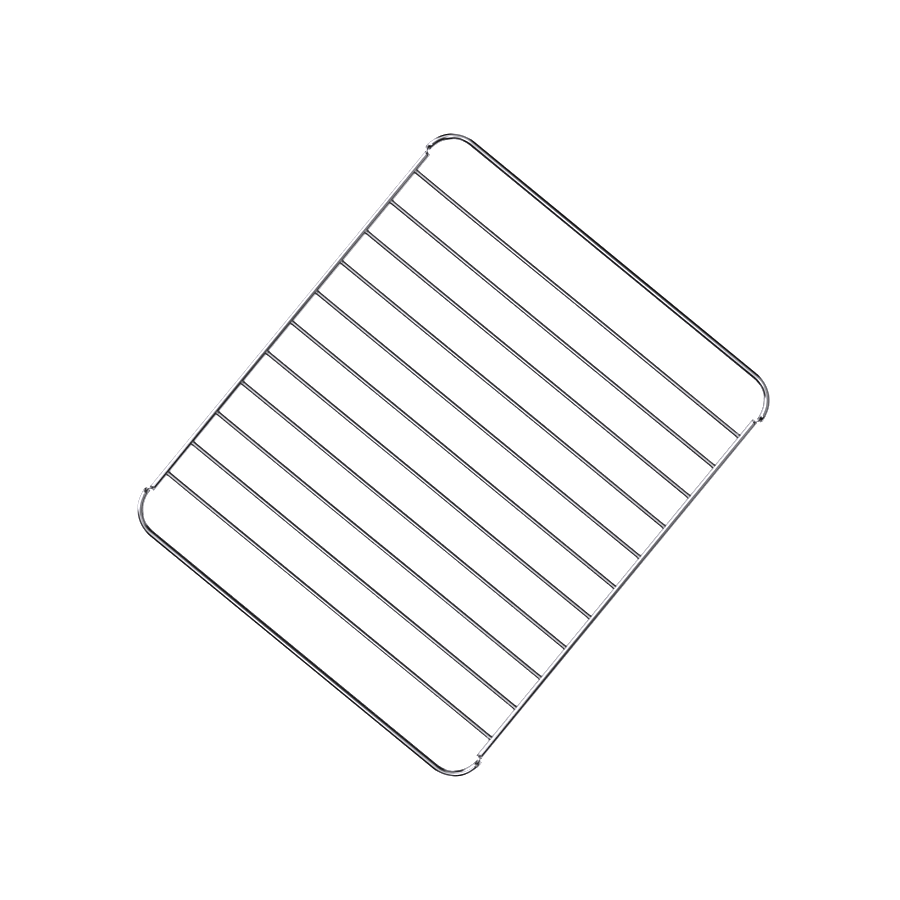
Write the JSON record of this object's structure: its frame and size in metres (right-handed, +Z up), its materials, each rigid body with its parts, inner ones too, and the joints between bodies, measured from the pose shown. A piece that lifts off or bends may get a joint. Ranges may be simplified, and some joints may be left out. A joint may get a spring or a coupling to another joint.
{
  "type": "wire cooling rack",
  "caption": "Rectangular wire rack with a bent round-wire frame, raised end handles and parallel cross wires, for cooling baked goods with air all round.",
  "frame": {"origin": "on the surface that the side rails lie on, under the middle of the rack", "axes": "+X along the cross wires, from the left rail to the right rail; +Y along the side rails, from the front handle to the back handle; +Z up, towards the raised end bars"},
  "size_m": [0.264, 0.3092, 0.019],
  "materials": {
    "frame_wire": "bright plated round wire",
    "cross_wire": "bright plated round wire",
    "weld": "plated weld fillet, slightly duller than the wire"
  },
  "bodies": {
    "root": {"left_rail": "frame_wire", "right_rail": "frame_wire", "front_bar": "frame_wire", "back_bar": "frame_wire", "front_left_corner": "frame_wire", "front_right_corner": "frame_wire", "back_left_corner": "frame_wire", "back_right_corner": "frame_wire", "cross_wire_01": "cross_wire", "cross_wire_02": "cross_wire", "cross_wire_03": "cross_wire", "cross_wire_04": "cross_wire", "cross_wire_05": "cross_wire", "cross_wire_06": "cross_wire", "cross_wire_07": "cross_wire", "cross_wire_08": "cross_wire", "cross_wire_09": "cross_wire", "cross_wire_10": "cross_wire", "cross_wire_11": "cross_wire", "left_welds": "weld", "right_welds": "weld"}
  },
  "joints": []
}
